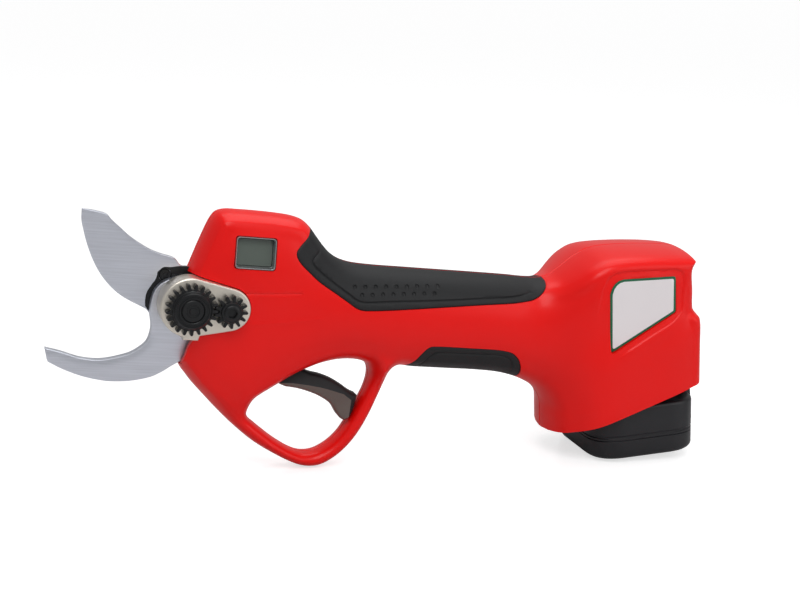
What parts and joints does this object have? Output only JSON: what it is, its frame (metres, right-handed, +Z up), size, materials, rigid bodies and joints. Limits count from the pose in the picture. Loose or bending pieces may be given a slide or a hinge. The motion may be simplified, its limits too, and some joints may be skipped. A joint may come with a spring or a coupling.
{
  "type": "battery electric pruner",
  "caption": "Inline cordless pruner with a hooked fixed jaw, a geared moving blade, a red two-shell body with finger guard and trigger, and a slide-in battery pack.",
  "frame": {"origin": "middle of the whole pruner's bounding box at rest, with the pack seated and the jaws open, on the parting plane of the two shells; the blade pivot's axis crosses it 97 mm further forward and 16.6 mm higher", "axes": "+X back along the motor line from the jaws to the battery bay, +Z up, -Y the tool's left side, where the adjusting gears are"},
  "size_m": [0.3111, 0.0596, 0.1149],
  "materials": {
    "red_housing": "bright red glass-filled plastic, satin gloss",
    "soft_grip": "black overmoulded rubber, fine matte grain with dimples",
    "blade_steel": "hardened steel, ground lengthwise",
    "black_steel": "blackened steel, slightly oily",
    "cast_head": "machined die-cast aluminium, satin",
    "drive_steel": "bright steel",
    "bronze_bush": "sintered bronze",
    "battery_black": "fine-grained satin black plastic",
    "trigger_grey": "smooth dark grey plastic, satin gloss",
    "bezel_silver": "silver plated plastic frame",
    "display_glass": "clear display window",
    "display_panel": "grey-green display panel, switched off",
    "label_film": "white label film with a thin green border and no text",
    "circuit_board": "green circuit board",
    "cell_can": null,
    "contact_metal": "nickel-plated spring steel",
    "wire_jacket": "red silicone wire jacket"
  },
  "bodies": {
    "body": {"left_shell": "red_housing", "right_shell": "red_housing", "top_grip_left": "soft_grip", "top_grip_right": "soft_grip", "palm_grip_left": "soft_grip", "palm_grip_right": "soft_grip", "side_label_left": "label_film", "side_label_right": "label_film", "shell_screw_1": "black_steel", "shell_screw_2": "black_steel", "shell_screw_3": "black_steel", "shell_screw_4": "black_steel", "fixed_jaw": "blade_steel", "jaw_screw": "black_steel", "pivot_bolt": "black_steel", "head_plate": "cast_head", "frame_screw_1": "black_steel", "frame_screw_2": "black_steel", "gearbox_frame": "cast_head", "pinion_bearing": "drive_steel", "planetary_gearbox": "drive_steel", "drive_motor": "drive_steel", "trigger_pin": "drive_steel", "trigger_spring": "drive_steel", "trigger_sensor": "circuit_board", "display_bezel": "bezel_silver", "display_lens": "display_glass", "display_module": "display_panel", "control_board": "circuit_board", "bay_contact_block": "battery_black", "motor_lead_1": "wire_jacket", "motor_lead_2": "wire_jacket", "battery_lead": "wire_jacket"},
    "blade": {"moving_blade": "blade_steel", "blade_backing_plate": "black_steel", "blade_screw_1": "black_steel", "blade_screw_2": "black_steel", "blade_bush": "bronze_bush", "blade_gear": "black_steel"},
    "pinion": {"drive_pinion": "black_steel"},
    "nut": {"adjusting_nut": "black_steel"},
    "lock": {"lock_gear": "black_steel", "lock_screw": "black_steel"},
    "trigger": {"trigger": "trigger_grey"},
    "battery": {"battery_case": "battery_black", "battery_base_cap": "battery_black", "battery_label": "label_film", "battery_cell_1": "cell_can", "battery_cell_2": "cell_can", "battery_cell_3": "cell_can", "battery_cell_4": "cell_can", "cell_board": "circuit_board", "contact_strip_1": "contact_metal", "contact_strip_2": "contact_metal", "contact_strip_3": "contact_metal", "contact_strip_4": "contact_metal"},
    "latch": {"battery_latch": "battery_black"}
  },
  "joints": [
    {"name": "blade_pivot", "type": "hinge", "parent": "body", "child": "blade", "pos_m": [-0.097, 0, 0.0166], "axis": [0, -1, 0], "range_deg": [0, 57]},
    {"name": "pinion_spin", "type": "hinge", "parent": "body", "child": "pinion", "pos_m": [-0.067, 0, 0.0166], "axis": [1, 0, 0], "range_deg": [0, 252]},
    {"name": "nut_turn", "type": "hinge", "parent": "body", "child": "nut", "pos_m": [-0.097, -0.02, 0.0166], "axis": [0, -1, 0], "range_deg": [-45, 45]},
    {"name": "lock_gear_turn", "type": "hinge", "parent": "body", "child": "lock", "pos_m": [-0.0799, -0.02, 0.0166], "axis": [0, -1, 0], "range_deg": [-74, 74]},
    {"name": "trigger_pull", "type": "hinge", "parent": "body", "child": "trigger", "pos_m": [-0.0485, 0, -0.0124], "axis": [0, -1, 0], "range_deg": [0, 18]},
    {"name": "battery_slide", "type": "slide", "parent": "body", "child": "battery", "axis": [0.1564, 0, -0.9877], "range_m": [0, 0.085]},
    {"name": "latch_press", "type": "slide", "parent": "battery", "child": "latch", "axis": [-0.9877, 0, -0.1564], "range_m": [0, 0.002]}
  ],
  "couplings": [
    {"joint": "pinion_spin", "follows": "blade_pivot", "ratio": 4.3636},
    {"joint": "lock_gear_turn", "follows": "nut_turn", "ratio": -1.6154}
  ]
}
